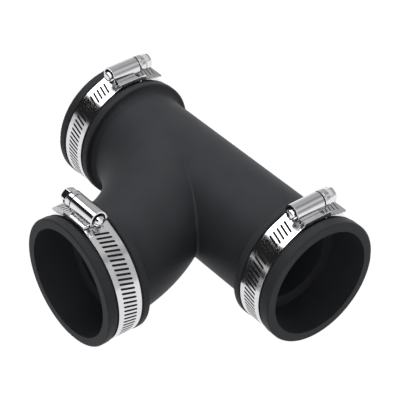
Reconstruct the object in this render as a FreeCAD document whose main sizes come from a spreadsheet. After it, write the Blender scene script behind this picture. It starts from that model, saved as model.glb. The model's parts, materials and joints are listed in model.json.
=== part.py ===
import FreeCAD, Part
import math
import os

import Sketcher

# A moulded rubber tee for 2 inch pipe with a swept branch, and a worm-drive clamp in the groove of each collar.
# The origin is the centre of the straight end's mouth. +X points out of that mouth along the run, the branch
# points along -Y, and +Z is up.

Vector = FreeCAD.Vector

# Driving dimensions: name, value in millimetres, degrees or pieces, and meaning
SIZES = [
    ("pipe_diameter", "60.3", "outside diameter of the pipe that a socket takes"),
    ("socket_depth", "23.3", "from the mouth to the pipe stop"),
    ("passage_diameter", "45.6", "flow passage behind the stops"),
    ("neck_diameter", "60.2", "outside of the run and of the branch between the collars"),
    ("collar_diameter", "70.7", "outside of the collars' lips and ridges"),
    ("lip_width", "5.3", "from the sweep end's and the branch's mouths to their clamp grooves"),
    ("straight_lip_width", "6.2", "from the straight end's mouth to its clamp groove"),
    ("groove_width", "16.3", "clamp groove, along the outlet"),
    ("ridge_width", "4.3", "from the clamp groove to the neck"),
    ("groove_diameter", "68.2", "floor of the clamp groove"),
    ("straight_arm", "77.8", "from the branch's axis to the straight mouth"),
    ("sweep_arm", "102.2", "from the branch's axis to the mouth that the branch sweeps into"),
    ("branch_arm", "101.5", "from the run's axis to the branch's mouth"),
    ("sweep_radius", "86.6", "centre line of the branch's sweep"),
    ("lip_rounding", "1.0", "outer edges of the lips and ridges"),
    ("ridge_fillet", "3.5", "hollow corner between a ridge and the neck"),
    ("crease_fillet", "1.2", "hollow corner between the run and the swept branch"),
    ("straight_clamp_place", "14.5", "from the straight end's mouth to the middle of its clamp"),
    ("sweep_clamp_place", "13.0", "from the sweep end's mouth to the middle of its clamp"),
    ("branch_clamp_place", "13.6", "from the branch's mouth to the middle of its clamp"),
    ("running_gap", "0.3", "between a clamp and the groove's floor"),
    ("band_width", "14.0", "clamp band, along the outlet"),
    ("band_thickness", "0.6", "clamp band"),
    ("play", "0.05", "between the layers inside a clamp"),
    ("edge_play", "0.1", "between the band's edges and the saddle's walls"),
    ("bend_margin", "1.0", "degrees between a bend of the band and the piece that it goes round"),
    ("fixed_end_inset", "1.5", "from the saddle's tip end to the band's fixed end"),
    ("tail_angle", "16.0", "degrees from the clamp's top to where the tail leaves its curve"),
    ("tail_length", "13.0", "straight part of the tail"),
    ("slot_length", "8.2", "slot in the band"),
    ("slot_width", "0.9", "slot in the band"),
    ("slot_pitch", "2.55", "from slot to slot along the band"),
    ("slot_slant", "16.0", "degrees between a slot and the outlet's direction"),
    ("first_slot", "19.1", "degrees from the clamp's top to the first slot of the ring"),
    ("last_slot", "250.0", "degrees from the clamp's top to where the slots end"),
    ("saddle_thickness", "0.5", "folded sheet of the saddle"),
    ("saddle_tip_length", "6.8", "from the clamp's middle to the saddle's end at the screw's tip"),
    ("saddle_head_length", "10.4", "from the clamp's middle to the saddle's end at the screw's head"),
    ("leg_length", "2.8", "saddle's legs beside the band, along the screw"),
    ("hem_width", "2.4", "saddle edge folded over a housing flange"),
    ("hem_rounding", "0.35", "outer bend of the hem"),
    ("flange_thickness", "1.0", "housing flange"),
    ("flange_head_length", "5.0", "from the clamp's middle to the flange's and hem's end at the screw's head"),
    ("barrel_wall", "0.92", "sheet of the housing's barrel"),
    ("barrel_foot", "1.7", "from the flange's underside to the barrel's ends past the flanges"),
    ("barrel_tip_length", "9.3", "from the clamp's middle to the barrel's end at the screw's tip"),
    ("barrel_head_length", "8.5", "from the clamp's middle to the barrel's end at the screw's head"),
    ("barrel_rounding", "0.3", "outer edge of the barrel's ends"),
    ("worm_gap", "0.08", "between the worm and the barrel that it turns in"),
    ("worm_diameter", "8.0", "screw over its thread"),
    ("worm_inset", "2.0", "from the barrel's tip end to the worm"),
    ("tip_diameter", "5.8", "screw's plain tip and neck"),
    ("tip_rounding", "1.0", "end of the tip"),
    ("tip_reach", "2.4", "tip past the housing"),
    ("head_gap", "0.35", "between the housing and the screw's round collar"),
    ("head_collar_diameter", "10.0", "round collar under the hexagon"),
    ("head_collar_length", "3.9", "round collar under the hexagon"),
    ("head_collar_rounding", "0.4", "edges of the round collar"),
    ("hex_across_flats", "8.0", "hexagon of the screw's head"),
    ("hex_length", "4.4", "hexagon of the screw's head"),
    ("hex_turn", "0.0", "degrees that the hexagon is turned from having a corner on top"),
    ("driver_slot_width", "1.2", "screwdriver slot across the head"),
    ("driver_slot_depth", "1.6", "screwdriver slot across the head"),
]

# Formulas of the sheet that more than one piece uses
COLLAR = "Sizes.collar_diameter / 2"
NECK = "Sizes.neck_diameter / 2"
GROOVE = "Sizes.groove_diameter / 2"
RUN_LENGTH = "(Sizes.straight_arm + Sizes.sweep_arm)"
LIP, STRAIGHT_LIP = "Sizes.lip_width", "Sizes.straight_lip_width"
# Radii of the clamp's layers, from the groove outwards
RING_IN = "(Sizes.groove_diameter / 2 + Sizes.running_gap)"
RING_OUT = f"({RING_IN} + Sizes.band_thickness)"
SEAT_IN = f"({RING_IN} + Sizes.saddle_thickness)"
SEAT_OUT = f"({SEAT_IN} + Sizes.band_thickness)"
UPPER_IN = f"({SEAT_OUT} + Sizes.play)"
UPPER_OUT = f"({UPPER_IN} + Sizes.band_thickness)"
FLANGE_BOTTOM = f"({UPPER_OUT} + Sizes.play)"
FLANGE_TOP = f"({FLANGE_BOTTOM} + Sizes.flange_thickness)"
HEM_TOP = f"({FLANGE_TOP} + Sizes.saddle_thickness)"
SCREW_HEIGHT = f"({FLANGE_BOTTOM} + Sizes.worm_diameter / 2)"
WALL_IN = "(Sizes.band_width / 2 + Sizes.edge_play)"
WALL_OUT = f"({WALL_IN} + Sizes.saddle_thickness)"
BORE = "(Sizes.worm_diameter / 2 + Sizes.worm_gap)"
BARREL = f"({BORE} + Sizes.barrel_wall)"
LEG_START = "(Sizes.saddle_head_length - Sizes.leg_length)"

doc = FreeCAD.newDocument("rubber_tee")
sheet = doc.addObject("Spreadsheet::Sheet", "Sizes")
for row, (name, number, meaning) in enumerate(SIZES, start=1):
    sheet.set(f"A{row}", name)
    sheet.set(f"B{row}", number)
    sheet.set(f"C{row}", meaning)
    sheet.setAlias(f"B{row}", name)
doc.recompute()


def value(formula):
    """The number that a formula of the sheet gives now."""
    result = sheet.evalExpression(str(formula))
    return float(getattr(result, "Value", result))


def new_body(label):
    body = doc.addObject("PartDesign::Body", label)
    body.Label = label
    return body


def origin_item(body, role):
    """One of a body's own origin planes or axes."""
    return next(item for item in body.Origin.OriginFeatures if item.Role == role)


def new_sketch(body, name, plane_role, place=None):
    """A sketch on one of the body's own origin planes; place is a formula for its offset from that plane."""
    sketch = body.newObject("Sketcher::SketchObject", name)
    sketch.AttachmentSupport = [(origin_item(body, plane_role), "")]
    sketch.MapMode = "FlatFace"
    if place:
        sketch.setExpression("AttachmentOffset", place)
    return sketch


def offset(along_x="0", along_y="0", along_normal="0", roll="0"):
    """The formula of an offset in a plane's own directions, with a turn about its first direction."""
    return f"placement(vector({along_x}; {along_y}; {along_normal}); rotation(0; 0; {roll}))"


def pin(sketch, geometry, end, corner):
    """Holds one end of an edge at a corner given as two formulas."""
    for kind, formula in zip(("DistanceX", "DistanceY"), corner):
        index = sketch.addConstraint(Sketcher.Constraint(kind, -1, 1, geometry, end, value(formula)))
        sketch.setExpression(f"Constraints[{index}]", formula)


def outline(sketch, corners):
    """Closes an outline. A corner is (x, y), or (x, y, centre, radius, turn) where the edge that leaves it is an
    arc: centre is a pair of formulas, and turn is 1 anticlockwise or -1 clockwise."""
    count = len(corners)
    points = [Vector(value(corner[0]), value(corner[1]), 0) for corner in corners]
    ends = []
    for number, corner in enumerate(corners):
        start = points[number]
        finish = points[(number + 1) % count]
        if len(corner) == 2:
            index = sketch.addGeometry(Part.LineSegment(start, finish), False)
            ends.append((index, 1, 2))
            continue
        _, _, centre, radius, turn = corner
        middle = Vector(value(centre[0]), value(centre[1]), 0)
        first, last = (start, finish) if turn > 0 else (finish, start)
        angles = [math.atan2(point.y - middle.y, point.x - middle.x) for point in (first, last)]
        circle = Part.Circle(middle, Vector(0, 0, 1), value(radius))
        index = sketch.addGeometry(Part.ArcOfCircle(circle, angles[0], angles[1]), False)
        ends.append((index, 1, 2) if turn > 0 else (index, 2, 1))
        constraint = sketch.addConstraint(Sketcher.Constraint("Radius", index, value(radius)))
        sketch.setExpression(f"Constraints[{constraint}]", radius)
    for number, corner in enumerate(corners):
        index, start_end, _ = ends[number]
        before, _, finish_end = ends[number - 1]
        sketch.addConstraint(Sketcher.Constraint("Coincident", before, finish_end, index, start_end))
        pin(sketch, index, start_end, corner[:2])


def rounded(corners):
    """Turns each corner (x, y, rounding) of a square-cornered outline into the two ends of its arc."""
    result = []
    count = len(corners)
    for number, corner in enumerate(corners):
        if len(corner) == 2:
            result.append(corner)
            continue
        x, y, radius = corner
        place = [value(x), value(y)]
        steps = []
        for other in (corners[number - 1], corners[(number + 1) % count]):
            gap = [value(other[0]) - place[0], value(other[1]) - place[1]]
            along_x = abs(gap[0]) > abs(gap[1])
            sign = "+" if gap[0 if along_x else 1] > 0 else "-"
            steps.append((along_x, sign, gap))
        ends = []
        for along_x, sign, _ in steps:
            ends.append((f"{x} {sign} {radius}", y) if along_x else (x, f"{y} {sign} {radius}"))
        centre = (ends[0][0] if steps[0][0] else ends[1][0], ends[0][1] if not steps[0][0] else ends[1][1])
        (ax, ay), (bx, by) = steps[0][2], steps[1][2]
        turn = 1 if ax * by - ay * bx < 0 else -1
        result.append((*ends[0], centre, radius, turn))
        result.append(ends[1])
    return result


def circle(sketch, centre, radius):
    index = sketch.addGeometry(Part.Circle(Vector(value(centre[0]), value(centre[1]), 0),
                                           Vector(0, 0, 1), value(radius)), False)
    constraint = sketch.addConstraint(Sketcher.Constraint("Radius", index, value(radius)))
    sketch.setExpression(f"Constraints[{constraint}]", radius)
    pin(sketch, index, 3, centre)


def feature(body, kind, name, sketch, **settings):
    """Adds a feature made from a sketch; a setting that is text with a sheet name in it is bound as a formula."""
    item = body.newObject(f"PartDesign::{kind}", name)
    item.Profile = sketch
    for setting, content in settings.items():
        if isinstance(content, str) and "Sizes." in content:
            item.setExpression(setting, content)
        else:
            setattr(item, setting, content)
    sketch.Visibility = False
    return item


def turned(body, kind, name, sketch, axis="H_Axis", **settings):
    """A Revolution or Groove about an axis of its sketch."""
    item = feature(body, kind, name, sketch, **settings)
    item.ReferenceAxis = (sketch, [axis])
    return item


def pattern(body, name, original, reference, count, **settings):
    kind = "PolarPattern" if "Angle" in settings else "LinearPattern"
    item = body.newObject(f"PartDesign::{kind}", name)
    item.Originals = [original]
    setattr(item, "Axis" if kind == "PolarPattern" else "Direction", reference)
    item.setExpression("Occurrences", count)
    for setting, formula in settings.items():
        item.setExpression(setting, formula)
    body.Tip = item
    return item


def on_edges(body, kind, name, base, test, **formulas):
    """A Fillet on the edges of a feature whose middle points pass a test."""
    names = []
    for number, edge in enumerate(base.Shape.Edges, start=1):
        middle = edge.valueAt((edge.FirstParameter + edge.LastParameter) / 2)
        if test(middle, edge):
            names.append(f"Edge{number}")
    item = body.newObject(f"PartDesign::{kind}", name)
    item.Base = (base, names)
    for setting, formula in formulas.items():
        item.setExpression(setting, formula)
    return item


def collar_length(lip):
    return f"({lip} + Sizes.groove_width + Sizes.ridge_width)"


def collar_profile(direction, lip):
    """Corners of a collar's outside from its mouth to the back of its ridge.

    direction turns a distance from the mouth into a place along the outlet's axis."""
    groove_end = f"({lip} + Sizes.groove_width)"
    return [
        (direction("0"), COLLAR, "Sizes.lip_rounding"),
        (direction(lip), COLLAR, "Sizes.lip_rounding"),
        (direction(lip), GROOVE),
        (direction(groove_end), GROOVE),
        (direction(groove_end), COLLAR, "Sizes.lip_rounding"),
        (direction(collar_length(lip)), COLLAR, "Sizes.lip_rounding"),
    ]


def socket_profile(direction):
    """Corners of a socket from its mouth to the edge of its stop."""
    return [
        (direction("0"), "Sizes.pipe_diameter / 2"),
        (direction("Sizes.socket_depth"), "Sizes.pipe_diameter / 2"),
        (direction("Sizes.socket_depth"), "Sizes.passage_diameter / 2"),
    ]


def from_straight_mouth(distance):
    return f"-({distance})"


def from_sweep_mouth(distance):
    return f"-{RUN_LENGTH} + ({distance})"


def from_branch_mouth(distance):
    return f"-Sizes.branch_arm + ({distance})"


def swept_tube(body, kind, name, radius):
    """A round section turned a quarter circle from the branch's axis into the run's axis."""
    place = offset(along_x="-Sizes.straight_arm", along_normal="Sizes.sweep_radius")
    sketch = new_sketch(body, f"{name}_section", "XZ_Plane", place)
    circle(sketch, ("0", "0"), radius)
    top, bottom = (Vector(-value("Sizes.sweep_radius"), side * value(NECK), 0) for side in (1, -1))
    axis = sketch.addGeometry(Part.LineSegment(bottom, top), True)
    pin(sketch, axis, 1, ("-Sizes.sweep_radius", f"-{NECK}"))
    pin(sketch, axis, 2, ("-Sizes.sweep_radius", NECK))
    turned(body, kind, name, sketch, "Axis0", Angle=90)


def rubber_tee():
    """One moulding: run, swept branch and three grooved collars outside; sockets and passages inside."""
    body = new_body("rubber_tee")
    branch_place = offset(along_x="-Sizes.straight_arm")

    # Run with its two collars, turned about the X axis
    sketch = new_sketch(body, "run_outside", "XZ_Plane")
    corners = [("0", "0"), *collar_profile(from_straight_mouth, STRAIGHT_LIP)]
    corners += [(end(collar_length(lip)), NECK, "Sizes.ridge_fillet")
                for end, lip in ((from_straight_mouth, STRAIGHT_LIP), (from_sweep_mouth, LIP))]
    corners += [*reversed(collar_profile(from_sweep_mouth, LIP)), (from_sweep_mouth("0"), "0")]
    outline(sketch, rounded(corners))
    turned(body, "Revolution", "run", sketch, Angle=360)

    # Branch collar, turned about the branch's axis
    sketch = new_sketch(body, "branch_outside", "XY_Plane", branch_place)
    corners = [("0", from_branch_mouth("0"))]
    corners += [(radius, place, *rounding) for place, radius, *rounding in collar_profile(from_branch_mouth, LIP)]
    corners += [("0", from_branch_mouth(collar_length(LIP)))]
    outline(sketch, rounded(corners))
    turned(body, "Revolution", "branch_collar", sketch, "V_Axis", Angle=360)

    swept_tube(body, "Revolution", "sweep", NECK)

    # Sockets with their stops, and the passages between them
    sketch = new_sketch(body, "run_inside", "XZ_Plane")
    corners = [("0", "0"), *socket_profile(from_straight_mouth)]
    corners += [*reversed(socket_profile(from_sweep_mouth)), (from_sweep_mouth("0"), "0")]
    outline(sketch, corners)
    turned(body, "Groove", "run_bore", sketch, Angle=360)

    sketch = new_sketch(body, "branch_inside", "XY_Plane", branch_place)
    corners = [("0", from_branch_mouth("0"))]
    corners += [(radius, place) for place, radius in socket_profile(from_branch_mouth)[:2]]
    corners += [("0", from_branch_mouth("Sizes.socket_depth"))]
    outline(sketch, corners)
    turned(body, "Groove", "branch_socket", sketch, "V_Axis", Angle=360)

    swept_tube(body, "Groove", "swept_passage", "Sizes.passage_diameter / 2")
    doc.recompute()

    # Hollow corners along the crease between run and sweep, and behind the branch's ridge
    neck = value(NECK)
    arm = value("Sizes.straight_arm")
    ridge_back = value(from_branch_mouth(collar_length(LIP)))

    def on_crease(point, edge):
        return edge.Curve.TypeId == "Part::GeomBSplineCurve" and abs(math.hypot(point.y, point.z) - neck) < 0.05

    def behind_branch_ridge(point, edge):
        from_axis = math.hypot(point.x + arm, point.z)
        return abs(point.y - ridge_back) < 0.01 and neck - 2 < from_axis < neck + 1.5

    crease = on_edges(body, "Fillet", "crease_fillets", body.Tip, on_crease, Radius="Sizes.crease_fillet")
    doc.recompute()
    on_edges(body, "Fillet", "ridge_fillets", crease, behind_branch_ridge, Radius="Sizes.ridge_fillet")
    return body


def over_the_top(radius, angle):
    """A corner at a radius and an angle from the clamp's top, counted towards the screw's tip, which is at -Y."""
    return (f"-{radius} * sin({angle})", f"{radius} * cos({angle})")


def degrees(formula):
    """An angle's formula as a plain number of degrees."""
    return f"({formula} / 1deg)"


def climb(inner, outer):
    """Angle between where a straight stretch leaves the inner circle along its tangent and meets the outer one."""
    return degrees(f"acos({inner} / {outer})")


CENTRE = ("0", "0")
# Angles of the band's ends and bends, counted from the clamp's top towards the screw's tip
FIXED_END = degrees(f"asin((Sizes.saddle_tip_length - Sizes.fixed_end_inset) / {SEAT_IN})")
SADDLE_HEAD_END = degrees(f"asin(Sizes.saddle_head_length / {SEAT_IN})")
JOGGLE = f"-({SADDLE_HEAD_END} + {climb(RING_IN, SEAT_IN)} + Sizes.bend_margin)"
RISE = f"({FIXED_END} + {climb(RING_IN, UPPER_IN)} + Sizes.bend_margin)"


def tail_point(radius, distance):
    """A corner of the straight tail, at a distance from where it leaves its curve."""
    return (f"{radius} * sin(Sizes.tail_angle) + ({distance}) * cos(Sizes.tail_angle)",
            f"{radius} * cos(Sizes.tail_angle) - ({distance}) * sin(Sizes.tail_angle)")


def arc_corner(point, radius, turn):
    return (*point, CENTRE, radius, turn)


def slot_corners():
    """A slot's four corners: it runs along the outlet, slanted towards the screw's tip as +X grows."""
    corners = []
    for along, across in ((1, 1), (-1, 1), (-1, -1), (1, -1)):
        length = f"{along} * Sizes.slot_length / 2"
        width = f"{across} * Sizes.slot_width / 2"
        corners.append((f"{length} * cos(Sizes.slot_slant) + {width} * sin(Sizes.slot_slant)",
                        f"-{length} * sin(Sizes.slot_slant) + {width} * cos(Sizes.slot_slant)"))
    return corners


def slot(body, name, place, depth):
    """One slot, cut outwards from its sketch."""
    sketch = new_sketch(body, f"{name}_outline", "XY_Plane", place)
    outline(sketch, slot_corners())
    return feature(body, "Pocket", name, sketch, Length=depth, Reversed=True)


def pitch_angle(radius):
    return f"(Sizes.slot_pitch / ({radius}) * 180 / pi)"


def band(prefix):
    """One strip: fixed end on the saddle, round the collar, over its own start under the screw, and out as a tail."""
    body = new_body(f"{prefix}_band")
    sketch = new_sketch(body, "band_path", "YZ_Plane")
    joggle_top_in = f"({JOGGLE} + {climb(RING_IN, SEAT_IN)})"
    joggle_top_out = f"({JOGGLE} + {climb(RING_OUT, SEAT_OUT)})"
    rise_top_in = f"({RISE} - {climb(RING_IN, UPPER_IN)})"
    rise_top_out = f"({RISE} - {climb(RING_OUT, UPPER_OUT)})"
    outline(sketch, [
        arc_corner(over_the_top(SEAT_IN, FIXED_END), SEAT_IN, -1),
        over_the_top(SEAT_IN, joggle_top_in),
        arc_corner(over_the_top(RING_IN, JOGGLE), RING_IN, -1),
        over_the_top(RING_IN, RISE),
        arc_corner(over_the_top(UPPER_IN, rise_top_in), UPPER_IN, -1),
        tail_point(UPPER_IN, "0"),
        tail_point(UPPER_IN, "Sizes.tail_length"),
        tail_point(UPPER_OUT, "Sizes.tail_length"),
        arc_corner(tail_point(UPPER_OUT, "0"), UPPER_OUT, 1),
        over_the_top(UPPER_OUT, rise_top_out),
        arc_corner(over_the_top(RING_OUT, RISE), RING_OUT, 1),
        over_the_top(RING_OUT, JOGGLE),
        arc_corner(over_the_top(SEAT_OUT, joggle_top_out), SEAT_OUT, 1),
        over_the_top(SEAT_OUT, FIXED_END),
    ])
    feature(body, "Pad", "strip", sketch, Length="Sizes.band_width", SideType="Symmetric")
    about_outlet = (origin_item(body, "X_Axis"), [""])

    # Slots of the ring, from beside the screw's tip to the plain stretch before the saddle
    depth = "Sizes.collar_diameter"
    first = slot(body, "ring_slot", offset(roll="Sizes.first_slot"), depth)
    pitch = pitch_angle(f"{RING_IN} + Sizes.band_thickness / 2")
    steps = f"floor((Sizes.last_slot - Sizes.first_slot) / {pitch})"
    pattern(body, "ring_slots", first, about_outlet, f"{steps} + 1", Angle=f"{steps} * {pitch}")

    # Slots of the upper layer under the screw; their tool starts between the two layers
    start = f"({UPPER_IN} - Sizes.play / 2)"
    depth = "Sizes.band_thickness + 2 * Sizes.play"
    x, y = over_the_top(start, "-Sizes.tail_angle")
    first = slot(body, "upper_slot", offset(along_y=x, along_normal=y, roll="-Sizes.tail_angle"), depth)
    pitch = pitch_angle(f"{UPPER_IN} + Sizes.band_thickness / 2")
    steps = f"floor((Sizes.tail_angle + {rise_top_in}) / {pitch})"
    pattern(body, "upper_slots", first, about_outlet, f"{steps} + 1", Angle=f"{steps} * {pitch}")

    # Slots of the tail
    x, y = tail_point(start, "Sizes.slot_pitch")
    first = slot(body, "tail_slot", offset(along_y=x, along_normal=y, roll="-Sizes.tail_angle"), depth)
    steps = "(floor(Sizes.tail_length / Sizes.slot_pitch) - 2)"
    along_tail = (first.Profile[0], ["V_Axis"])
    pattern(body, "tail_slots", first, along_tail, f"{steps} + 1", Length=f"{steps} * Sizes.slot_pitch")
    return body


def along_the_top(sketch, radius, start, end, top):
    """Outline seen along the outlet, from an arc about its axis up to a straight edge on top."""
    corners = [(place, f"sqrt(pow({radius}; 2) - pow({place}; 2))") for place in (start, end)]
    outline(sketch, [(start, top), arc_corner(corners[0], radius, -1), corners[1], (end, top)])


def saddle(prefix):
    """A folded strip: a curved base under the band, a leg up each side of the band, and ears that run from the
    legs towards the screw's tip and are hemmed over the housing's flanges."""
    body = new_body(f"{prefix}_saddle")
    tip = "-Sizes.saddle_tip_length"
    head = "Sizes.saddle_head_length"
    across = f"2 * {WALL_OUT}"

    sketch = new_sketch(body, "saddle_side", "YZ_Plane")
    along_the_top(sketch, RING_IN, tip, head, HEM_TOP)
    feature(body, "Pad", "saddle_block", sketch, Length=across, SideType="Symmetric")

    sketch = new_sketch(body, "band_channel_side", "YZ_Plane")
    along_the_top(sketch, SEAT_IN, tip, head, FLANGE_TOP)
    feature(body, "Pocket", "band_channel", sketch, Length=f"2 * {WALL_IN}", SideType="Symmetric")

    # Below the ears the band's edges show
    sketch = new_sketch(body, "window_side", "YZ_Plane")
    low, high = ([(place, f"sqrt(pow({radius}; 2) - pow({place}; 2))") for place in (tip, LEG_START)]
                 for radius in (SEAT_IN, FLANGE_BOTTOM))
    outline(sketch, [arc_corner(low[0], SEAT_IN, -1), low[1], arc_corner(high[1], FLANGE_BOTTOM, 1), high[0]])
    feature(body, "Pocket", "side_windows", sketch, Length=across, SideType="Symmetric")

    # The barrel stands between the hems, which end with the flanges
    half = f"({WALL_OUT} - Sizes.hem_width)"
    margin = "Sizes.saddle_thickness"
    hem_end = "Sizes.flange_head_length"
    for name, width, start in (("hem_gap", half, f"{tip} - {margin}"), ("hem_end", WALL_IN, hem_end)):
        sketch = new_sketch(body, f"{name}_outline", "XY_Plane", offset(along_normal=FLANGE_TOP))
        end = f"{head} + {margin}"
        outline(sketch, [(f"-{width}", start), (width, start), (width, end), (f"-{width}", end)])
        feature(body, "Pocket", name, sketch, Length="2 * Sizes.saddle_thickness", Reversed=True)
    doc.recompute()

    top = value(HEM_TOP)
    outside = value(WALL_OUT)

    def outer_bend(point, edge):
        return abs(point.z - top) < 0.01 and abs(abs(point.x) - outside) < 0.01

    on_edges(body, "Fillet", "hem_bends", body.Tip, outer_bend, Radius="Sizes.hem_rounding")
    return body


def housing(prefix):
    """A folded sheet: a barrel over the screw, open below, with a flange on each side of its middle stretch."""
    body = new_body(f"{prefix}_housing")
    middle = ("0", SCREW_HEIGHT)

    def section(name, bottom, place):
        """The sheet's U over the screw, from a level up to the top."""
        sketch = new_sketch(body, name, "XZ_Plane", place)
        outline(sketch, [
            (BARREL, bottom),
            (BARREL, SCREW_HEIGHT, middle, BARREL, 1),
            ("0", f"{SCREW_HEIGHT} + {BARREL}", middle, BARREL, 1),
            (f"-{BARREL}", SCREW_HEIGHT),
            (f"-{BARREL}", bottom),
            (f"-{BORE}", bottom),
            (f"-{BORE}", SCREW_HEIGHT, middle, BORE, -1),
            ("0", f"{SCREW_HEIGHT} + {BORE}", middle, BORE, -1),
            (BORE, SCREW_HEIGHT),
            (BORE, bottom),
        ])
        return sketch

    tip_end = offset(along_normal="Sizes.barrel_tip_length")
    sketch = section("barrel_section", f"({FLANGE_BOTTOM} + Sizes.barrel_foot)", tip_end)
    length = "Sizes.barrel_tip_length + Sizes.barrel_head_length"
    barrel = feature(body, "Pad", "barrel", sketch, Length=length, Reversed=True)
    doc.recompute()
    ends = [-value("Sizes.barrel_tip_length"), value("Sizes.barrel_head_length")]
    axis_height = value(SCREW_HEIGHT)
    radius = value(BARREL)

    def outer_end(point, edge):
        from_axis = math.hypot(point.x, point.z - axis_height)
        return min(abs(point.y - end) for end in ends) < 0.01 and abs(from_axis - radius) < 0.01

    on_edges(body, "Fillet", "barrel_ends", barrel, outer_end, Radius="Sizes.barrel_rounding")
    doc.recompute()

    # Flanges, with the sheet between them and the barrel
    place = offset(along_normal="Sizes.saddle_tip_length")
    length = "Sizes.saddle_tip_length + Sizes.flange_head_length"
    edge = f"({WALL_IN} - Sizes.play)"
    for side, sign in (("near", ""), ("far", "-")):
        sketch = new_sketch(body, f"{side}_flange_section", "XZ_Plane", place)
        foot_top = f"{FLANGE_BOTTOM} + 1.5 * Sizes.barrel_foot"
        outline(sketch, [
            (f"{sign}{BORE}", FLANGE_BOTTOM),
            (f"{sign}{edge}", FLANGE_BOTTOM),
            (f"{sign}{edge}", FLANGE_TOP),
            (f"{sign}{BARREL}", FLANGE_TOP),
            (f"{sign}{BARREL}", foot_top),
            (f"{sign}{BORE}", foot_top),
        ])
        feature(body, "Pad", f"{side}_flange", sketch, Length=length, Reversed=True)
    return body


def screw(prefix):
    """Hexagon head with a screwdriver slot, round collar, neck, worm and plain tip, turned about one axis."""
    body = new_body(f"{prefix}_screw")
    tip = "Sizes.tip_diameter / 2"
    worm = "Sizes.worm_diameter / 2"
    tip_end = "-(Sizes.barrel_tip_length + Sizes.tip_reach)"
    worm_start = "-(Sizes.barrel_tip_length - Sizes.worm_inset)"
    collar_start = "(Sizes.barrel_head_length + Sizes.head_gap)"
    collar_end = f"({collar_start} + Sizes.head_collar_length)"
    head_end = f"({collar_end} + Sizes.hex_length)"
    collar = "Sizes.head_collar_diameter / 2"

    sketch = new_sketch(body, "turned_profile", "YZ_Plane", offset(along_y=SCREW_HEIGHT))
    outline(sketch, rounded([
        (tip_end, "0"),
        (tip_end, tip, "Sizes.tip_rounding"),
        (worm_start, tip),
        (worm_start, worm),
        ("Sizes.barrel_head_length", worm),
        ("Sizes.barrel_head_length", tip),
        (collar_start, tip),
        (collar_start, collar, "Sizes.head_collar_rounding"),
        (collar_end, collar, "Sizes.head_collar_rounding"),
        (collar_end, "0"),
    ]))
    turned(body, "Revolution", "shank", sketch, Angle=360)

    # Hexagon, chamfered at its end by a cone
    corner = "(Sizes.hex_across_flats / 2 / cos(30))"
    place = offset(along_y=SCREW_HEIGHT, along_normal=f"-{collar_end}")
    sketch = new_sketch(body, "hexagon_outline", "XZ_Plane", place)
    turns = [f"({60 * number} + Sizes.hex_turn)" for number in range(6)]
    outline(sketch, [(f"{corner} * sin({turn})", f"{corner} * cos({turn})") for turn in turns])
    feature(body, "Pad", "hexagon", sketch, Length="Sizes.hex_length", Reversed=True)
    sketch = new_sketch(body, "hexagon_chamfer", "YZ_Plane", offset(along_y=SCREW_HEIGHT))
    flat = "Sizes.hex_across_flats / 2 * 0.95"
    beyond = "Sizes.hex_across_flats"
    outline(sketch, [(head_end, flat), (head_end, beyond), (f"{head_end} - ({beyond} - {flat}) * tan(30)", beyond)])
    turned(body, "Groove", "hexagon_chamfers", sketch, Angle=360)

    place = offset(along_y=SCREW_HEIGHT, along_normal=f"-{head_end}")
    sketch = new_sketch(body, "driver_slot_outline", "XZ_Plane", place)
    half = "Sizes.driver_slot_width / 2"
    reach = "Sizes.hex_across_flats"
    outline(sketch, [(f"-{half}", f"-{reach}"), (half, f"-{reach}"), (half, reach), (f"-{half}", reach)])
    feature(body, "Pocket", "driver_slot", sketch, Length="Sizes.driver_slot_depth")
    return body


# Each clamp's middle on its outlet's axis, and its turn about the vertical. Its own +X runs along the outlet
# and its screw's head is towards its own +Y.
CLAMPS = {
    "straight_end": ("-Sizes.straight_clamp_place", "0", 0),
    "sweep_end": (f"-{RUN_LENGTH} + Sizes.sweep_clamp_place", "0", 0),
    "branch": ("-Sizes.straight_arm", "-Sizes.branch_arm + Sizes.branch_clamp_place", 90),
}

pieces = [rubber_tee()]
for prefix, (x, y, heading) in CLAMPS.items():
    for build in (band, saddle, housing, screw):
        piece = build(prefix)
        piece.setExpression("Placement", f"placement(vector({x}; {y}; 0); rotation({heading}; 0; 0))")
        pieces.append(piece)
doc.recompute()

failed = [item.Label for item in doc.Objects if "Invalid" in item.State or "Error" in item.State]
failed += [piece.Label for piece in pieces if piece.Shape.isNull() or not piece.Shape.isValid()]
if failed:
    raise RuntimeError(f"not built: {failed}")

os.makedirs("parts", exist_ok=True)
for piece in pieces:
    piece.Shape.exportStep(f"parts/{piece.Label}.step")
    print(piece.Label, "solids", len(piece.Shape.Solids), "volume", round(piece.Shape.Volume, 1))
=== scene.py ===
import json
import math

import bmesh
import bpy
from mathutils import Matrix, Vector
from mathutils.kdtree import KDTree


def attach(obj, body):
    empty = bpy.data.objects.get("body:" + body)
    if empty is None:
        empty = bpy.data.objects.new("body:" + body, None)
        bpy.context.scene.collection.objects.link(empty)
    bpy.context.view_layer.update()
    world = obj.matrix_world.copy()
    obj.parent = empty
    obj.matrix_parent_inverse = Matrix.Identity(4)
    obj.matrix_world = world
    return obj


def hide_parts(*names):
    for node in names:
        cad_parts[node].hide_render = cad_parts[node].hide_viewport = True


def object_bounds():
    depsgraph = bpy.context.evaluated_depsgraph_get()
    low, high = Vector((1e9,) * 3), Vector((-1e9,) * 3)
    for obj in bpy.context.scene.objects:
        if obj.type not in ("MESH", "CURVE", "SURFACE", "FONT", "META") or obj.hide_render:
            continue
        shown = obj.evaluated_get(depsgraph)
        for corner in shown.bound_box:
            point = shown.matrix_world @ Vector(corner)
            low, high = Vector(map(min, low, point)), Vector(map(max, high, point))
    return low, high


# A flexible rubber tee and its three worm-drive clamps, on a white studio floor. The rubber is the packed
# node with its own material. The clamps' pieces are modelled here, in a clamp's own frame in millimetres:
# X along the outlet, Y towards the screw's head, Z up. Turns are in degrees about X, from the clamp's top.

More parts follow.
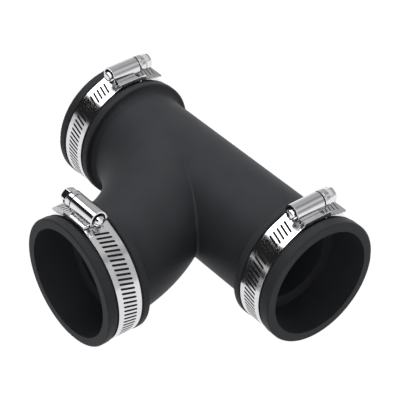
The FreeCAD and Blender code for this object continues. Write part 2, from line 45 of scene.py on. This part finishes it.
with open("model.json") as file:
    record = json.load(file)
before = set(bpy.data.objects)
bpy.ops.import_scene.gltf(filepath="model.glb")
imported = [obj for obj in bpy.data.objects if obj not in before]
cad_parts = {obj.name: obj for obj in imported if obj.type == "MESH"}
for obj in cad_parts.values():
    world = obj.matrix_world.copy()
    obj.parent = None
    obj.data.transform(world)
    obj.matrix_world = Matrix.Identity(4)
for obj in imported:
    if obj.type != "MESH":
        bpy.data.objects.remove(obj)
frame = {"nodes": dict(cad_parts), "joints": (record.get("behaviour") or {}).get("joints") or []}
cad_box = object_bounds()
joints = {joint["name"]: joint for joint in frame["joints"]}
scene = bpy.context.scene
scene.view_settings.view_transform = "Standard"

MM = 0.001

# Band: radii of its middle line on the saddle, round the ring and under the screw, and its strip
SEAT_R, RING_R, UPPER_R = 35.2, 34.7, 35.85
BAND_HALF, BAND_THICK = 7.0, 0.6
# Turns of its fixed end, of its step down off the saddle and up under the screw, and of the tail's start
FIXED_END, JOGGLE, RISE, TAIL = 8.73, -28.05, 24.35, 16.0
TAIL_LENGTH = 13.0
# Slots: half their length and width, their pitch and slant, and the turns between which the ring has them
SLOT_HALF, SLOT_HALF_WIDTH, SLOT_PITCH = 4.0, 0.56, 2.55
SLANT = math.tan(math.radians(16.0))
FIRST_SLOT, LAST_SLOT = 19.1, 250.0
TAIL_SLOT_SHARE = 0.6    # width of the tail's slots, as a share of the ring's
SLOT_END_SHARE = 0.45    # width of a slot at its ends, as a share of its middle's

# Saddle: its stretches along the screw, its heights about the outlet's axis, and its section
SADDLE_TIP, SADDLE_HEAD, LEG_START, HEM_END = -6.8, 10.4, 7.6, 5.0
SADDLE_R, EAR_R, HEM_Z = 34.65, 36.2, 37.45
WALL_X, WALL_BEND, HEM_EDGE_X, SHEET = 7.35, 0.3, 5.2, 0.5
BASE_INSET = 0.75        # of the base's edges where they carry no leg

# Housing: its barrel's radii, ends and lower edge, its flanges, and the rounded fold between them
BORE_R, BARREL_R = 4.08, 5.0
BARREL_TIP, BARREL_HEAD, BARREL_FOOT_Z = -9.3, 8.3, 37.9
FLANGE_X, FLANGE_Z = 7.0, 36.7
FOLD, FOLD_MIDDLE = 0.55, 0.16

# Screw: its height, its radii, and its stretches along its axis
SCREW_Z = 40.2
CREST_R, ROOT_R, SHANK_R, COLLAR_R = 3.98, 3.15, 2.9, 5.0
WORM_START, WORM_END, WORM_FADE = -7.3, 8.2, 1.2
COLLAR_START, HEX_START = 8.98, 12.7
HEX_HALF, HEX_CORNER_CUT = 4.0, 0.06
DRIVER_SLOT_BOTTOM, DRIVER_SLOT_HALF = 15.55, 0.6
THREAD_HALF, THREAD_FLANK = 0.36, 0.16    # half width at the root and run of a flank, in pitches
AROUND, RINGS_PER_PITCH = 72, 14          # points in a ring, and rings in a pitch of the worm
# Turns at rest of each hexagon's corner and driver slot about the screw, from the top towards the outlet
SCREW_TURNS = {"straight_end": (0, -45), "sweep_end": (0, -45), "branch": (-13, 55)}


# Node helpers

def new_material(name):
    """A material with a Principled shader: the material, its tree and the shader."""
    material = bpy.data.materials.new(name)
    material.use_nodes = True
    tree = material.node_tree
    tree.nodes.clear()
    shader = tree.nodes.new("ShaderNodeBsdfPrincipled")
    output = tree.nodes.new("ShaderNodeOutputMaterial")
    tree.links.new(shader.outputs["BSDF"], output.inputs["Surface"])
    return material, tree, shader


def add(tree, kind, **settings):
    node = tree.nodes.new(kind)
    for key, content in settings.items():
        setattr(node, key, content)
    return node


def stretched_noise(tree, scales, detail, roughness=0.5):
    """Noise in the object's own metres, with a scale for each direction."""
    coordinates = add(tree, "ShaderNodeTexCoord")
    mapping = add(tree, "ShaderNodeMapping")
    mapping.inputs["Scale"].default_value = scales
    noise = add(tree, "ShaderNodeTexNoise")
    noise.inputs["Scale"].default_value = 1.0
    noise.inputs["Detail"].default_value = detail
    noise.inputs["Roughness"].default_value = roughness
    tree.links.new(coordinates.outputs["Object"], mapping.inputs["Vector"])
    tree.links.new(mapping.outputs["Vector"], noise.inputs["Vector"])
    return noise.outputs["Fac"]


def ranged(tree, value, low, high, from_low=0.3, from_high=0.7):
    """The value, with from_low to from_high spread over low to high."""
    node = add(tree, "ShaderNodeMapRange")
    node.inputs["From Min"].default_value = from_low
    node.inputs["From Max"].default_value = from_high
    node.inputs["To Min"].default_value = low
    node.inputs["To Max"].default_value = high
    tree.links.new(value, node.inputs["Value"])
    return node.outputs["Result"]


def colour_between(tree, factor, dark, light):
    node = add(tree, "ShaderNodeMix", data_type="RGBA")
    tree.links.new(factor, node.inputs["Factor"])
    node.inputs["A"].default_value = (*dark, 1)
    node.inputs["B"].default_value = (*light, 1)
    return node.outputs["Result"]


def bump(tree, height, strength, distance, normal=None):
    node = add(tree, "ShaderNodeBump")
    node.inputs["Strength"].default_value = strength
    node.inputs["Distance"].default_value = distance
    tree.links.new(height, node.inputs["Height"])
    if normal:
        tree.links.new(normal, node.inputs["Normal"])
    return node.outputs["Normal"]


def mixed(tree, factor, first, second):
    """A shader that is the first where the factor is 0 and the second where it is 1."""
    node = add(tree, "ShaderNodeMixShader")
    tree.links.new(factor, node.inputs["Fac"])
    tree.links.new(first, node.inputs[1])
    tree.links.new(second, node.inputs[2])
    return node.outputs[0]


def ray_is(tree, *kinds):
    """1 for a ray of one of these kinds, and 0 for any other."""
    rays = add(tree, "ShaderNodeLightPath").outputs
    result = rays[kinds[0]]
    for kind in kinds[1:]:
        node = add(tree, "ShaderNodeMath", operation="MAXIMUM")
        tree.links.new(result, node.inputs[0])
        tree.links.new(rays[kind], node.inputs[1])
        result = node.outputs[0]
    return result


# Materials of the part

def rubber_material():
    """Matt moulded rubber: a fine grain, faint clouding and a slight waviness of the skin."""
    material, tree, shader = new_material("moulded_rubber")
    clouds = ranged(tree, stretched_noise(tree, (70, 70, 70), 3), 0, 1)
    base = colour_between(tree, clouds, (0.0296, 0.0308, 0.0342), (0.0348, 0.0362, 0.0400))
    tree.links.new(base, shader.inputs["Base Color"])
    grain = stretched_noise(tree, (2400, 2400, 2400), 2, 0.6)
    tree.links.new(ranged(tree, grain, 0.46, 0.62), shader.inputs["Roughness"])
    shader.inputs["IOR"].default_value = 1.22
    waves = stretched_noise(tree, (220, 220, 220), 1)
    skin = bump(tree, waves, 0.12, 0.0002)
    tree.links.new(bump(tree, grain, 0.3, 0.00006, skin), shader.inputs["Normal"])
    return material


def metal_material(name, colour, roughness, scales, depth):
    """Steel with fine lines along the direction whose noise scale is low; their depth is in metres."""
    material, tree, shader = new_material(name)
    clouds = ranged(tree, stretched_noise(tree, (160, 160, 160), 2), 0, 1)
    dull = tuple(level * 0.93 for level in colour)
    tree.links.new(colour_between(tree, clouds, dull, colour), shader.inputs["Base Color"])
    lines = stretched_noise(tree, scales, 3, 0.6)
    tree.links.new(ranged(tree, lines, *roughness), shader.inputs["Roughness"])
    tree.links.new(bump(tree, lines, 0.3, depth), shader.inputs["Normal"])
    shader.inputs["Metallic"].default_value = 1.0
    return material


# Mesh helpers

def mesh_object(name, points, faces):
    """An object in the scene from points in millimetres."""
    mesh = bpy.data.meshes.new(name)
    mesh.from_pydata([[part * MM for part in point] for point in points], [], faces)
    mesh.validate()
    piece = bpy.data.objects.new(name, mesh)
    scene.collection.objects.link(piece)
    return piece


def grid_faces(rows, columns, skip=lambda row, column: False, closed=False):
    """Faces between rows of points, without the cells to skip; closed joins each row's end to its start."""
    faces = []
    for row in range(rows - 1):
        for column in range(columns if closed else columns - 1):
            if not skip(row, column):
                after = (column + 1) % columns
                faces.append((row * columns + column, row * columns + after,
                              (row + 1) * columns + after, (row + 1) * columns + column))
    return faces


def round_edges(piece, width, segments, angle):
    edges = piece.modifiers.new("edges", "BEVEL")
    edges.width = width * MM
    edges.segments = segments
    edges.limit_method = "ANGLE"
    edges.angle_limit = math.radians(angle)


def evaluated_mesh(piece):
    """Makes what the modifiers give the piece's own mesh."""
    bpy.context.view_layer.update()
    mesh = bpy.data.meshes.new_from_object(piece.evaluated_get(bpy.context.evaluated_depsgraph_get()))
    mesh.name = piece.name
    piece.modifiers.clear()
    piece.data = mesh
    return mesh


def keep_result(piece, angle, weighted=False):
    """Keeps what the modifiers give, shaded smooth; weighted lets the large faces set the shading."""
    mesh = evaluated_mesh(piece)
    for polygon in mesh.polygons:
        polygon.use_smooth = True
    mesh.set_sharp_from_angle(angle=math.radians(angle))
    if weighted:
        shading = piece.modifiers.new("shading", "WEIGHTED_NORMAL")
        shading.weight = 80
        shading.keep_sharp = True
        evaluated_mesh(piece)


def finish_sheet(piece, thickness, bevel, angle, segments=2):
    """Gives a surface its sheet thickness and rounded edges, and keeps the result as its mesh."""
    weld = piece.modifiers.new("weld", "WELD")
    weld.merge_threshold = 1e-6
    sheet = piece.modifiers.new("sheet", "SOLIDIFY")
    sheet.thickness = thickness * MM
    sheet.offset = 0
    round_edges(piece, bevel, segments, angle)
    keep_result(piece, angle, weighted=True)


def shade_along(piece, line):
    """Shades the broad faces of a bent strip by the exact line that it follows, so that reflections run
    clean across its slots, and gives the slots' sheared walls the second material: rough steel painted
    dark as shade. The line is (y, z) points in millimetres, closely spaced. A broad face lies within 14
    degrees of it."""
    tree = KDTree(len(line))
    for number, (y, z) in enumerate(line):
        tree.insert((0, y * MM, z * MM), number)
    tree.balance()
    mesh = piece.data
    normals = [corner.vector.copy() for corner in mesh.corner_normals]
    for polygon in mesh.polygons:
        for loop in polygon.loop_indices:
            spot = mesh.vertices[mesh.loops[loop].vertex_index].co
            number = tree.find((0, spot.y, spot.z))[1]
            before, after = line[max(number - 1, 0)], line[min(number + 1, len(line) - 1)]
            upright = Vector((0, before[1] - after[1], after[0] - before[0])).normalized()
            facing = upright.dot(polygon.normal)
            if abs(facing) > 0.97:
                normals[loop] = upright if facing > 0 else -upright
            # Faces near the slots that are not broad, their walls and rims, get the steel with painted shade
            elif abs(spot.x) < (SLOT_HALF + 0.5) * MM:
                polygon.material_index = 1
    mesh.normals_split_custom_set(normals)


# Band

def smooth_min(a, b, width):
    low, high = min(a, b), max(a, b)
    return low - width * math.log1p(math.exp((low - high) / width))


def climb(degrees, level, rounding):
    """Radius of a straight that leaves the ring as a tangent and rounds off at a level radius. The degrees
    are the turn since it left."""
    return smooth_min(RING_R / math.cos(math.radians(min(degrees, 60))), level, rounding)


def band_point(turn):
    """Middle line of the band; the turn falls as the band runs on from its fixed end, round the ring, to the
    tail, where each degree beyond the tail's start is a step along a straight."""
    straight = 0.0
    if turn < -360 - TAIL:
        straight = math.radians(-360 - TAIL - turn) * UPPER_R
        turn = -360 - TAIL
    if turn > JOGGLE:
        radius = climb(turn - JOGGLE, SEAT_R, 0.03)
    elif turn < RISE - 360:
        radius = climb(RISE - 360 - turn, UPPER_R, 0.05)
    else:
        radius = RING_R
    angle = math.radians(turn)
    y, z = -radius * math.sin(angle), radius * math.cos(angle)
    direction = math.radians(TAIL)
    return y + straight * math.cos(direction), z - straight * math.sin(direction)


def slanted(x):
    """Degrees that the slots' slant adds at x."""
    return math.degrees(x * SLANT / RING_R)


def band_piece(name):
    """The slotted strip: rows of points across it, slanted as the slots are, with a hole after the first row
    of each slot."""
    ring_step = math.degrees(SLOT_PITCH / RING_R)
    tail_step = math.degrees(SLOT_PITCH / UPPER_R)
    half_slot = math.degrees(SLOT_HALF_WIDTH / RING_R)
    tail_start = -360 - TAIL
    start, end = FIXED_END, tail_start - math.degrees(TAIL_LENGTH / UPPER_R)
    ring_slots = int((LAST_SLOT - FIRST_SLOT) / ring_step) + 1
    slots = [FIRST_SLOT - 360 + ring_step * number for number in range(ring_slots)]
    slots += [tail_start + tail_step * number for number in range(-4, 7)]
    slots.sort(reverse=True)
    half_xs = [BAND_HALF, 6.6, 5.6, SLOT_HALF + 0.6, SLOT_HALF, SLOT_HALF - 0.35, 1.8]
    xs = [-x for x in half_xs] + [0] + half_xs[::-1]
    columns = len(xs)
    hole = range(xs.index(-SLOT_HALF), xs.index(SLOT_HALF))

    # Rows: the turn at x = 0, the share of the slant, and whether a hole follows
    plain_rows = 20
    plain_end = slots[0] + ring_step / 2
    rows = []
    for number in range(plain_rows + 1):
        part = number / plain_rows
        rows.append((start + (plain_end - start) * part, part, False))
    for slot, following in zip(slots, slots[1:] + [slots[-1] - tail_step]):
        half = half_slot if slot > -360 else TAIL_SLOT_SHARE * half_slot
        rows += [(slot + half, 1.0, True), (slot - half, 1.0, False)]
        steps = max(2, int((slot - following) / ring_step))
        for step in range(1, steps):
            rows.append((slot + (following - slot) * step / steps, 1.0, False))
    # No slanted row crosses the straight end
    rows = [row for row in rows if row[0] > end + slanted(BAND_HALF)]
    rows.append((end, 0.0, False))

    points = [(x, turn + slanted(x) * share) for turn, share, before_hole in rows for x in xs]
    holes = {number for number, (turn, share, before_hole) in enumerate(rows) if before_hole}
    for number in holes:
        middle = (rows[number][0] + rows[number + 1][0]) / 2
        for column in (hole[0], hole[-1] + 1):
            for row in (number, number + 1):
                x, turn = points[row * columns + column]
                centre = middle + slanted(x)
                points[row * columns + column] = (x, centre + (turn - centre) * SLOT_END_SHARE)

    # The tail's corners are rounded: the two columns at each edge end some degrees short
    short = {half_xs[0]: 2.6, half_xs[1]: 1.0}
    bent = [(x, *band_point(max(turn, end + short.get(abs(x), 0.0)))) for x, turn in points]
    faces = grid_faces(len(rows), columns, lambda row, column: row in holes and column in hole)
    piece = mesh_object(name, bent, faces)
    finish_sheet(piece, BAND_THICK, 0.05, 50)
    steps = 1600
    shade_along(piece, [band_point(start + (end - start) * step / steps) for step in range(steps + 1)])
    return piece


# Saddle

def saddle_piece(name):
    """Folded strip: curved base, a leg each side at the head end, ears, and hems folded over the flanges."""
    ys = [SADDLE_TIP, SADDLE_TIP + 0.5, -4, -2, 0, 2, 3.6, HEM_END, HEM_END + 0.25, 6.4, LEG_START, 8.6,
          SADDLE_HEAD - 0.4, SADDLE_HEAD]
    inner_x = WALL_X - WALL_BEND
    bend = [(WALL_BEND * math.sin(turn), WALL_BEND * math.cos(turn))
            for turn in map(math.radians, (30, 60, 90))]

    def section(y):
        """Points from one hem's edge, down the wall and along the base, to the other hem's edge."""
        base = math.sqrt(SADDLE_R ** 2 - y ** 2)
        ear = math.sqrt(EAR_R ** 2 - y ** 2) if y <= LEG_START else (base + HEM_Z) / 2
        half = [(HEM_EDGE_X, HEM_Z), (HEM_EDGE_X + 1, HEM_Z), (inner_x, HEM_Z)]
        half += [(inner_x + sine, HEM_Z - WALL_BEND + cosine) for sine, cosine in bend]
        half += [(WALL_X, ear), (WALL_X, base + WALL_BEND)]
        inset = BASE_INSET if y < LEG_START else 0.0
        half += [(inner_x + cosine - inset, base + WALL_BEND - sine) for sine, cosine in bend]
        half += [(4.5, base), (1.5, base)]
        return half + [(-x, z) for x, z in reversed(half)]

    rows = [section(y) for y in ys]
    columns = len(rows[0])
    points = [(x, y, z) for y, row in zip(ys, rows) for x, z in row]

    def skip(row, column):
        """No hem past its end, and no lower wall and bend before the legs."""
        side = min(column, columns - 2 - column)
        middle = (ys[row] + ys[row + 1]) / 2
        return (side < 3 and middle > HEM_END) or (side in (6, 7, 8) and middle < LEG_START)

    piece = mesh_object(name, points, grid_faces(len(rows), columns, skip))
    finish_sheet(piece, SHEET, 0.08, 40)
    return piece


# Housing

def housing_piece(name):
    """Folded sheet: a barrel over the screw, open below, and a flange each side of its middle stretch. Its
    bore and its flanges' undersides have the second material, steel painted dark as their shade."""
    radius = (BORE_R + BARREL_R) / 2
    ys = [BARREL_TIP, -9.1, -8.2, SADDLE_TIP, -4.6, -2.3, 0, 2.5, HEM_END, 6.2, 7.6, 8.2, BARREL_HEAD]
    half = [(FLANGE_X, FLANGE_Z), (6.1, FLANGE_Z), (radius + FOLD, FLANGE_Z),
            (radius + FOLD_MIDDLE, FLANGE_Z + FOLD_MIDDLE), (radius, FLANGE_Z + FOLD),
            (radius, BARREL_FOOT_Z), (radius, SCREW_Z - 1.2), (radius, SCREW_Z)]
    arc = [(radius * math.cos(math.radians(angle)), SCREW_Z + radius * math.sin(math.radians(angle)))
           for angle in range(10, 180, 10)]
    section = half + arc + [(-x, z) for x, z in reversed(half)]
    columns = len(section)

    def skip(row, column):
        """Flanges only along the hems."""
        side = min(column, columns - 2 - column)
        middle = (ys[row] + ys[row + 1]) / 2
        return side < 5 and not SADDLE_TIP < middle < HEM_END

    points = [(x, y, z) for y in ys for x, z in section]
    piece = mesh_object(name, points, grid_faces(len(ys), columns, skip))
    finish_sheet(piece, BARREL_R - BORE_R, 0.22, 40, 3)
    # The bore and the flanges' undersides get the dark steel: painted shade where they lie in shadow
    for polygon in piece.data.polygons:
        out = Vector((polygon.center.x, 0, polygon.center.z - SCREW_Z * MM))
        underside = polygon.normal.z < -0.7 and polygon.center.z < FLANGE_Z * MM
        bore = out.length < (radius - 0.2) * MM and out.dot(polygon.normal) < 0
        if underside or bore:
            polygon.material_index = 1
    return piece


# Screw

def turned_piece(name, rings):
    """A closed piece about the screw's axis; a ring is its y and the (angle, radius) pairs of its points."""
    points = [(radius * math.sin(angle), y, SCREW_Z + radius * math.cos(angle))
              for y, ring in rings for angle, radius in ring]
    faces = grid_faces(len(rings), AROUND, closed=True)
    faces.append(tuple(reversed(range(AROUND))))
    faces.append(tuple(range((len(rings) - 1) * AROUND, len(rings) * AROUND)))
    return mesh_object(name, points, faces)


def thread_radius(y, angle):
    """Radius of the worm, whose thread rises and fades out at its ends."""
    wave = (y / SLOT_PITCH - angle / (2 * math.pi)) % 1.0
    height = max(0.0, min(1.0, (THREAD_HALF - abs(wave - 0.5)) / THREAD_FLANK))
    fade = max(0.0, min(1.0, (y - WORM_START) / WORM_FADE, (WORM_END - y) / WORM_FADE))
    return ROOT_R + (CREST_R - ROOT_R) * height * fade


def shank_piece(name):
    """Domed tip, threaded worm, neck and round collar."""
    angles = [2 * math.pi * number / AROUND for number in range(AROUND)]
    tip = [(-11.7, 0.001), (-11.68, 0.9), (-11.5, 1.75), (-11.1, 2.4), (-10.6, 2.75), (-10.0, SHANK_R),
           (WORM_START - 0.5, SHANK_R)]
    steps = int((WORM_END - WORM_START) / SLOT_PITCH * RINGS_PER_PITCH)
    worm = [WORM_START + (WORM_END - WORM_START) * step / steps for step in range(steps + 1)]
    collar = [(WORM_END + 0.12, SHANK_R), (COLLAR_START, SHANK_R), (9.02, 4.75), (9.1, 4.93),
              (9.3, COLLAR_R), (10.8, COLLAR_R), (12.35, COLLAR_R), (12.62, 4.9), (12.75, 4.6), (12.76, 3.3)]
    rings = [(y, [(angle, radius) for angle in angles]) for y, radius in tip]
    rings += [(y, [(angle, thread_radius(y, angle)) for angle in angles]) for y in worm]
    rings += [(y, [(angle, radius) for angle in angles]) for y, radius in collar]
    shank = turned_piece(name, rings)
    keep_result(shank, 50)
    return shank


def hexagon_piece(name, corner_turn, slot_turn):
    """Chamfered hexagon with a driver slot, cut by a block that stands past the head on its open sides."""
    corner = HEX_HALF / math.cos(math.radians(30)) - HEX_CORNER_CUT
    outline = []
    for degrees in range(0, 360, 360 // AROUND):
        radius = HEX_HALF / math.cos(math.radians(degrees % 60 - 30))
        outline.append((math.radians(degrees + corner_turn), min(radius, corner)))
    # Each level's y and largest radius, with the chamfer in the last three
    levels = [(HEX_START, corner), (16.35, corner), (16.75, 4.45), (17.0, 4.12), (17.15, 3.78)]
    rings = [(y, [(angle, min(radius, limit)) for angle, radius in outline]) for y, limit in levels]
    head = turned_piece(name, rings)
    along = Vector((math.sin(math.radians(slot_turn)), 0, math.cos(math.radians(slot_turn))))
    across = Vector((along.z, 0, -along.x))
    block = [Vector((0, y, SCREW_Z)) + along * length + across * width
             for y in (DRIVER_SLOT_BOTTOM, 18)
             for length in (-6, 6)
             for width in (-DRIVER_SLOT_HALF, DRIVER_SLOT_HALF)]
    sides = [(0, 1, 3, 2), (4, 6, 7, 5), (0, 4, 5, 1), (2, 3, 7, 6), (0, 2, 6, 4), (1, 5, 7, 3)]
    cutter = mesh_object(f"{name}_cutter", block, sides)
    cut = head.modifiers.new("slot", "BOOLEAN")
    cut.object = cutter
    cut.operation = "DIFFERENCE"
    cut.solver = "EXACT"
    round_edges(head, 0.12, 2, 40)
    keep_result(head, 30)
    bpy.data.objects.remove(cutter)
    return head


def screw_piece(name, corner_turn, slot_turn):
    """Shank and hexagon in one piece. The gap under the head has the dark second material: painted shade."""
    shank = shank_piece(name)
    head = hexagon_piece(f"{name}_hex", corner_turn, slot_turn)
    joined = bmesh.new()
    joined.from_mesh(shank.data)
    joined.from_mesh(head.data)
    joined.to_mesh(shank.data)
    joined.free()
    bpy.data.objects.remove(head)
    for polygon in shank.data.polygons:
        polygon.use_smooth = True
        # The neck and the collar's underside get the dark steel: painted shade in the gap under the head
        if (WORM_END - 0.1) * MM < polygon.center.y < (COLLAR_START + 0.06) * MM:
            polygon.material_index = 1
    shank.data.set_sharp_from_angle(angle=math.radians(30))
    return shank


# Pieces

tee = frame["nodes"]["rubber_tee"]
tee.data.materials.clear()
tee.data.materials.append(rubber_material())

band_steel = metal_material("band_steel_satin", colour=(0.73, 0.73, 0.745), roughness=(0.11, 0.2),
                            scales=(2600, 60, 60), depth=0.00002)
saddle_steel = metal_material("saddle_steel_satin", colour=(0.84, 0.84, 0.855), roughness=(0.12, 0.2),
                              scales=(900, 120, 900), depth=0.00002)
housing_steel = metal_material("housing_steel_bright", colour=(0.80, 0.80, 0.825), roughness=(0.07, 0.13),
                               scales=(620, 30, 620), depth=0.00007)
screw_steel = metal_material("screw_steel_bright", colour=(0.80, 0.80, 0.82), roughness=(0.09, 0.17),
                             scales=(650, 650, 650), depth=0.00006)
# Steel painted dark as shade, for slot walls, the housing's bore and undersides and the gap under a head
painted_shade_steel = metal_material("rough_steel_painted_dark", colour=(0.1, 0.1, 0.103), roughness=(0.5, 0.65),
                               scales=(900, 900, 900), depth=0.00004)

# For each part of a clamp: what builds it, its materials, and the body that it rides on
PARTS = {
    "band": (band_piece, (band_steel, painted_shade_steel), "clamp"),
    "saddle": (saddle_piece, (saddle_steel,), "clamp"),
    "housing": (housing_piece, (housing_steel, painted_shade_steel), "clamp"),
    "screw": (screw_piece, (screw_steel, painted_shade_steel), "worm"),
}
for prefix, screw_turns in SCREW_TURNS.items():
    joint = joints[f"{prefix}_clamp_turn"]
    axis = Vector(joint["axis"])
    heading = math.atan2(axis.y, axis.x)
    place = Matrix.Translation(joint["pos_m"]) @ Matrix.Rotation(heading, 4, "Z")
    for part, (build, materials, body) in PARTS.items():
        turns = screw_turns if part == "screw" else ()
        piece = build(f"{prefix}_{part}_detail", *turns)
        for material in materials:
            piece.data.materials.append(material)
        piece.matrix_world = place
        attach(piece, f"{prefix}_{body}")
        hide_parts(f"{prefix}_{part}")


# Camera, fitted to the photograph: its place in metres, its view, its right-hand side, and its lens in mm
CAMERA_PLACE = Vector((0.456147, -0.453859, 0.557093))
CAMERA_VIEW = Vector((-0.60737, 0.49777, -0.61913))
CAMERA_RIGHT = Vector((0.62428, 0.78105, 0.01553))
SENSOR, LENS = 36.0, 150.67

camera_data = bpy.data.cameras.new("camera")
camera = bpy.data.objects.new("camera", camera_data)
scene.collection.objects.link(camera)
scene.camera = camera
camera_data.sensor_width = SENSOR
camera_data.lens = LENS
camera_data.clip_start = 0.01
camera_data.clip_end = 50.0
forward = CAMERA_VIEW.normalized()
sideways = (CAMERA_RIGHT - forward * CAMERA_RIGHT.dot(forward)).normalized()
upward = sideways.cross(forward)
rotation = Matrix((sideways, upward, -forward)).transposed().to_4x4()
camera.matrix_world = Matrix.Translation(CAMERA_PLACE) @ rotation


# Floor: white to the camera and in mirrors, apart from a share that keeps the object's shadow
FLOOR_HALF, FLOOR_GREY, FLOOR_GLOW, GLOW_SHARE = 6000.0, 0.3, 1.09, 0.92

floor_z = cad_box[0][2] / MM
corners = [(x * FLOOR_HALF, y * FLOOR_HALF, floor_z) for x, y in ((-1, -1), (1, -1), (1, 1), (-1, 1))]
floor = mesh_object("studio_floor", corners, [(0, 1, 2, 3)])
material, tree, shader = new_material("studio_floor_white")
shader.inputs["Base Color"].default_value = (FLOOR_GREY, FLOOR_GREY, FLOOR_GREY, 1)
shader.inputs["Roughness"].default_value = 0.9
glow = add(tree, "ShaderNodeEmission")
glow.inputs["Strength"].default_value = FLOOR_GLOW
share = add(tree, "ShaderNodeMath", operation="MULTIPLY")
share.inputs[1].default_value = GLOW_SHARE
tree.links.new(ray_is(tree, "Is Camera Ray", "Is Glossy Ray", "Is Transmission Ray"), share.inputs[0])
output = next(node for node in tree.nodes if node.type == "OUTPUT_MATERIAL")
white_floor = mixed(tree, share.outputs[0], shader.outputs["BSDF"], glow.outputs[0])
tree.links.new(white_floor, output.inputs["Surface"])
floor.data.materials.append(material)


# World: white to the camera, a plain level as light, and in mirrors a studio of soft stripes
LIGHT_LEVEL, MIRROR_LEVEL = 0.3, 1.25

world = bpy.data.worlds.new("studio")
scene.world = world
world.use_nodes = True
tree = world.node_tree
tree.nodes.clear()
output = add(tree, "ShaderNodeOutputWorld")
coordinates = add(tree, "ShaderNodeTexCoord")
direction = add(tree, "ShaderNodeSeparateXYZ")
tree.links.new(coordinates.outputs["Generated"], direction.inputs[0])


def stripes(component, sign, stops):
    """Levels by the angle from straight up towards one side; stops are (degrees, level) pairs."""
    side = add(tree, "ShaderNodeMath", operation="MULTIPLY")
    side.inputs[1].default_value = sign
    tree.links.new(direction.outputs[component], side.inputs[0])
    angle = add(tree, "ShaderNodeMath", operation="ARCTAN2")
    tree.links.new(side.outputs[0], angle.inputs[0])
    tree.links.new(direction.outputs["Z"], angle.inputs[1])
    ramp = add(tree, "ShaderNodeValToRGB")
    tree.links.new(ranged(tree, angle.outputs[0], 0, 1, -math.pi, math.pi), ramp.inputs["Fac"])
    elements = ramp.color_ramp.elements
    while len(elements) > 1:
        elements.remove(elements[-1])
    for number, (degrees, level) in enumerate(stops):
        position = (degrees + 180) / 360
        element = elements[0] if number == 0 else elements.new(position)
        element.position = position
        element.color = (level, level, level, 1)
    return ramp.outputs["Color"]


def even(level):
    """The same level all over."""
    node = add(tree, "ShaderNodeRGB")
    node.outputs[0].default_value = (level, level, level, 1)
    return node.outputs[0]


def blend(component, above, below, low, high):
    """One pattern where a component of the direction is above high, the other where it is below low."""
    node = add(tree, "ShaderNodeMix", data_type="RGBA")
    tree.links.new(ranged(tree, direction.outputs[component], 1, 0, low, high), node.inputs["Factor"])
    tree.links.new(above, node.inputs["A"])
    tree.links.new(below, node.inputs["B"])
    return node.outputs["Result"]


def background(strength, colour=None):
    """A white background of this strength, or one that shows a pattern."""
    node = add(tree, "ShaderNodeBackground")
    node.inputs["Color"].default_value = (1, 1, 1, 1)
    node.inputs["Strength"].default_value = strength
    if colour:
        tree.links.new(colour, node.inputs["Color"])
    return node.outputs[0]


# Towards -Y a bright ceiling strip and then a black flag, towards +Y two sets of soft stripes, the second
# farther behind, and far out at -X a dark card beside a grey one
left = stripes("Y", -1, [(-60, 0.4), (-40, 0.25), (-20, 0.2), (0, 0.3), (3, 3.2), (29, 3.2), (31, 0.012),
                         (71, 0.012), (75, 0.6), (110, 0.68)])
right = stripes("X", 1, [(-110, 0.3), (-60, 0.4), (-25, 0.35), (-12, 0.5), (-2, 0.63), (22, 0.63),
                         (31, 0.36), (38, 0.28), (46, 0.6), (62, 0.61), (76, 0.54), (88, 0.56), (95, 0.76)])
behind = stripes("X", 1, [(-120, 0.06), (-100, 0.12), (-88, 0.19), (-76, 0.28), (-62, 0.4), (-50, 0.43),
                          (-40, 0.36), (-16, 0.39), (-4, 0.27), (8, 0.22), (20, 0.38), (32, 0.56),
                          (44, 0.54), (54, 0.33), (66, 0.24), (78, 0.42), (92, 0.62), (110, 0.64)])
cards = blend("Y", even(0.6), even(0.04), 0.3, 0.4)
sides = blend("Y", behind, blend("Y", right, left, 0.05, 0.25), 0.455, 0.48)
studio = blend("X", sides, cards, -0.82, -0.71)
plain, mirrored = background(LIGHT_LEVEL), background(MIRROR_LEVEL, studio)
lighting = mixed(tree, ray_is(tree, "Is Glossy Ray"), plain, mirrored)
seen = ray_is(tree, "Is Camera Ray", "Is Transmission Ray")
tree.links.new(mixed(tree, seen, lighting, background(1.0)), output.inputs["Surface"])


# Lamps: what they face, how far off they stand and how wide they are, in metres
LAMP_TARGET, LAMP_DISTANCE, LAMP_SIZE = Vector((-0.08, -0.03, 0)), 1.2, 0.7


def softbox(name, azimuth, elevation, energy):
    """A soft lamp turned to the part, which lights it without showing in the steel; angles in degrees."""
    lamp = bpy.data.lights.new(name, "AREA")
    lamp.shape = "RECTANGLE"
    lamp.size = lamp.size_y = LAMP_SIZE
    lamp.energy = energy
    holder = bpy.data.objects.new(name, lamp)
    scene.collection.objects.link(holder)
    azimuth, elevation = math.radians(azimuth), math.radians(elevation)
    outward = Vector((math.cos(azimuth) * math.cos(elevation), math.sin(azimuth) * math.cos(elevation),
                      math.sin(elevation)))
    holder.location = LAMP_TARGET + outward * LAMP_DISTANCE
    holder.rotation_euler = (-outward).to_track_quat("-Z", "Y").to_euler()
    holder.visible_glossy = False


softbox("key_softbox", 135, 68, 8.0)
softbox("back_softbox", 135, 40, 5.0)
softbox("front_softbox", 315, 12, 2.6)
softbox("left_softbox", 270, 12, 1.4)
softbox("right_softbox", 45, 12, 3.2)
